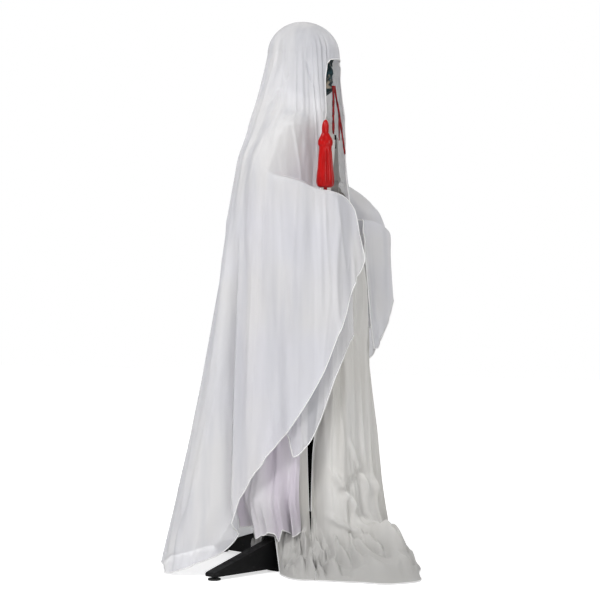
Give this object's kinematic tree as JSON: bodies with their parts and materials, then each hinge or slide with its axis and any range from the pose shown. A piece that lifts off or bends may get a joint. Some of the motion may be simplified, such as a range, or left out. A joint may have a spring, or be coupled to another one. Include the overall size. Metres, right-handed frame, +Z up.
{
  "type": "animatronic ghost",
  "caption": "Life-size veiled ghost on a cross stand with a pole: turning head, posable arms, red dripping candle, mask with eyes, and sheer white hood, cape and gown.",
  "frame": {"origin": "on the floor, on the axis of the pole", "axes": "+Z up along the pole, the figure faces -Y, +X is the figure's left"},
  "size_m": [0.8184, 0.9054, 1.7472],
  "materials": {
    "black_plastic": "moulded, fine satin texture",
    "black_rubber": "matt",
    "black_steel": "semi-gloss powder coat",
    "zinc_steel": "zinc plated",
    "white_nylon": "natural nylon",
    "skin_plastic": "matt moulded, pale",
    "mask_vinyl": "soft vinyl, dry brushed",
    "eye_lens": "clear tinted, glossy",
    "red_wax": "glossy, like wet wax",
    "drip_vinyl": "semi-gloss, uneven",
    "sheer_white": "thin sheer polyester",
    "gown_white": "thin matt polyester",
    "lining_lilac": "thin sheer polyester, gathered"
  },
  "bodies": {
    "root": {"base_hub": "black_plastic", "base_leg_1": "black_plastic", "base_leg_2": "black_plastic", "base_leg_3": "black_plastic", "base_leg_4": "black_plastic", "pole_collar": "black_plastic", "drive_case": "black_plastic", "control_case": "black_plastic", "speaker": "black_plastic", "power_inlet": "black_plastic", "foot_pad_1": "black_rubber", "foot_pad_2": "black_rubber", "foot_pad_3": "black_rubber", "foot_pad_4": "black_rubber", "leg_screw_1": "zinc_steel", "leg_screw_2": "zinc_steel", "leg_screw_3": "zinc_steel", "leg_screw_4": "zinc_steel", "snap_button": "zinc_steel", "drive_motor": "zinc_steel", "right_shoulder_bolt": "zinc_steel", "left_shoulder_bolt": "zinc_steel", "right_elbow_pin": "zinc_steel", "left_elbow_pin": "zinc_steel", "lower_pole": "black_steel", "upper_pole": "black_steel", "shoulder_plate": "black_steel", "neck_bush": "white_nylon", "chest_front_shell": "skin_plastic", "chest_back_shell": "skin_plastic", "right_upper_arm": "skin_plastic", "left_upper_arm": "skin_plastic", "cape_right": "sheer_white", "cape_left": "sheer_white", "sleeve_right": "sheer_white", "sleeve_left": "sheer_white", "gown_front": "gown_white", "gown_back": "gown_white", "lining_right": "lining_lilac"},
    "head": {"neck_gear": "white_nylon", "neck_shaft": "zinc_steel", "head_plate": "black_steel", "skull_mask": "mask_vinyl", "skull_back": "mask_vinyl", "right_eye": "eye_lens", "left_eye": "eye_lens", "drip_straight": "drip_vinyl", "drip_forked": "drip_vinyl", "veil_hood": "sheer_white"},
    "right_forearm_body": {"right_forearm": "skin_plastic", "right_hand": "skin_plastic", "candle_body": "red_wax", "candle_flame": "red_wax"},
    "left_forearm_body": {"left_forearm": "skin_plastic", "left_hand": "skin_plastic"},
    "pinion": {"motor_pinion": "white_nylon"},
    "battery_flap": {"battery_door": "black_plastic"},
    "try_cap": {"try_button": "red_wax"},
    "switch_slider": {"mode_switch": "black_plastic"}
  },
  "joints": [
    {"name": "head_turn", "type": "hinge", "parent": "root", "child": "head", "pos_m": [0, 0, 1.4], "axis": [0, 0, 1], "range_deg": [-22, 22], "deforming": ["veil_hood", "cape_right", "cape_left"]},
    {"name": "pinion_spin", "type": "hinge", "parent": "root", "child": "pinion", "pos_m": [0, 0.0305, 1.358], "axis": [0, 0, 1], "range_deg": [-70, 70]},
    {"name": "right_elbow", "type": "hinge", "parent": "root", "child": "right_forearm_body", "pos_m": [-0.232, 0.088, 1.228], "axis": [-1, 0, 0], "range_deg": [-10, 12], "deforming": ["cape_right", "sleeve_right", "lining_right"]},
    {"name": "left_elbow", "type": "hinge", "parent": "root", "child": "left_forearm_body", "pos_m": [0.233, 0.007, 1.206], "axis": [-1, 0, 0], "range_deg": [-10, 12], "deforming": ["cape_left", "sleeve_left"]},
    {"name": "battery_door_hinge", "type": "hinge", "parent": "root", "child": "battery_flap", "pos_m": [0, -0.0665, 0.976], "axis": [-1, 0, 0], "range_deg": [0, 110]},
    {"name": "try_button_press", "type": "slide", "parent": "root", "child": "try_cap", "axis": [0, 1, 0], "range_m": [0, 0.003], "stiffness_N_per_m": 400, "springref_m": -0.001},
    {"name": "mode_switch_slide", "type": "slide", "parent": "root", "child": "switch_slider", "axis": [1, 0, 0], "range_m": [-0.005, 0.005]}
  ],
  "couplings": [
    {"joint": "pinion_spin", "follows": "head_turn", "ratio": -3}
  ]
}
